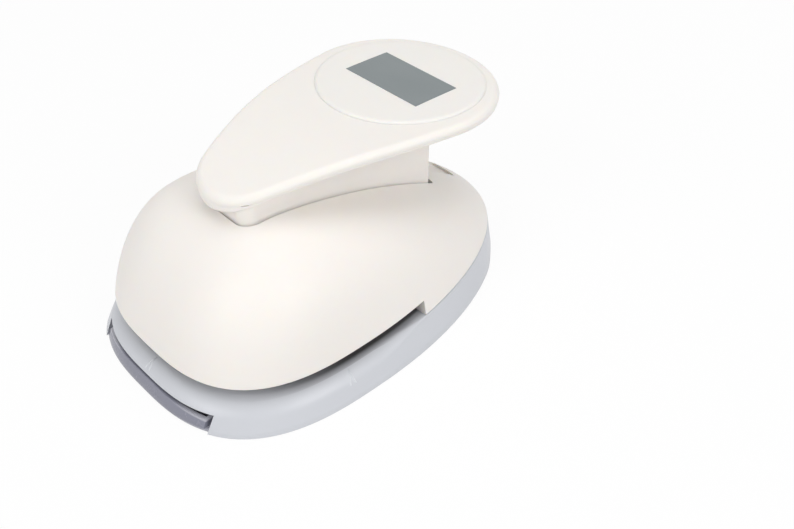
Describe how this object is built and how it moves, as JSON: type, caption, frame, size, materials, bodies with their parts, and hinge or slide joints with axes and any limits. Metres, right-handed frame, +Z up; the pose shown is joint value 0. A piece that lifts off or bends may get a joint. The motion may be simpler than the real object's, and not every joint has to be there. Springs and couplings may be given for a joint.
{
  "type": "lever slot punch",
  "caption": "Hand lever paper punch: egg-shaped base and domed cover, teardrop press lever on a front pivot, rectangular blade and die, pull-out chip tray.",
  "frame": {"origin": "on the table under the middle of the base's length and width, at the bottom of the rubber feet", "axes": "+Z up, the front with the tray and the paper throat at -Y, the lever's press disc at +Y"},
  "size_m": [0.0996, 0.1469, 0.0686],
  "materials": {
    "cream_plastic": "smooth satin cream",
    "base_plastic": "satin pale lavender grey",
    "smoke_plastic": "translucent smoke",
    "icon_grey": "flat grey",
    "steel": "zinc plated",
    "tool_steel": "ground",
    "dark_casting": "black phosphate",
    "bronze": "sintered",
    "rubber": "matt"
  },
  "bodies": {
    "base": {"base_shell": "base_plastic", "bottom_plate": "base_plastic", "bottom_screws": "steel", "rubber_feet": "rubber", "lower_die": "tool_steel", "die_screws": "steel", "die_spacer": "tool_steel", "upper_guide": "tool_steel", "frame_screws": "steel", "pivot_bracket": "steel", "bracket_screws": "steel", "pivot_pin": "steel", "pivot_clips": "steel", "guide_posts": "steel", "post_clips": "steel", "cover": "cream_plastic", "cover_screws": "steel", "cover_front_screws": "steel", "return_spring_left": "steel", "return_spring_right": "steel"},
    "lever": {"lever_body": "cream_plastic", "lever_cap": "cream_plastic", "lever_disc": "cream_plastic", "icon_plate": "icon_grey", "lever_screws": "steel", "pivot_bushes": "bronze", "press_bar": "steel"},
    "punch": {"punch_blade": "tool_steel", "punch_holder": "dark_casting", "punch_screws": "steel", "wear_pad": "tool_steel", "guide_bushes": "bronze"},
    "tray": {"chip_tray": "smoke_plastic"}
  },
  "joints": [
    {"name": "lever_press", "type": "hinge", "parent": "base", "child": "lever", "pos_m": [0, -0.046, 0.0374], "axis": [-1, 0, 0], "range_deg": [0, 10.5], "stiffness_Nm_per_rad": 5, "springref_deg": -8.02},
    {"name": "punch_slide", "type": "slide", "parent": "base", "child": "punch", "axis": [0, 0, -1], "range_m": [0, 0.00405], "deforming": ["return_spring_left", "return_spring_right"]},
    {"name": "tray_slide", "type": "slide", "parent": "base", "child": "tray", "axis": [0, -1, 0], "range_m": [0, 0.045]}
  ],
  "couplings": [
    {"joint": "punch_slide", "follows": "lever_press", "m_per_rad": 0.022}
  ]
}
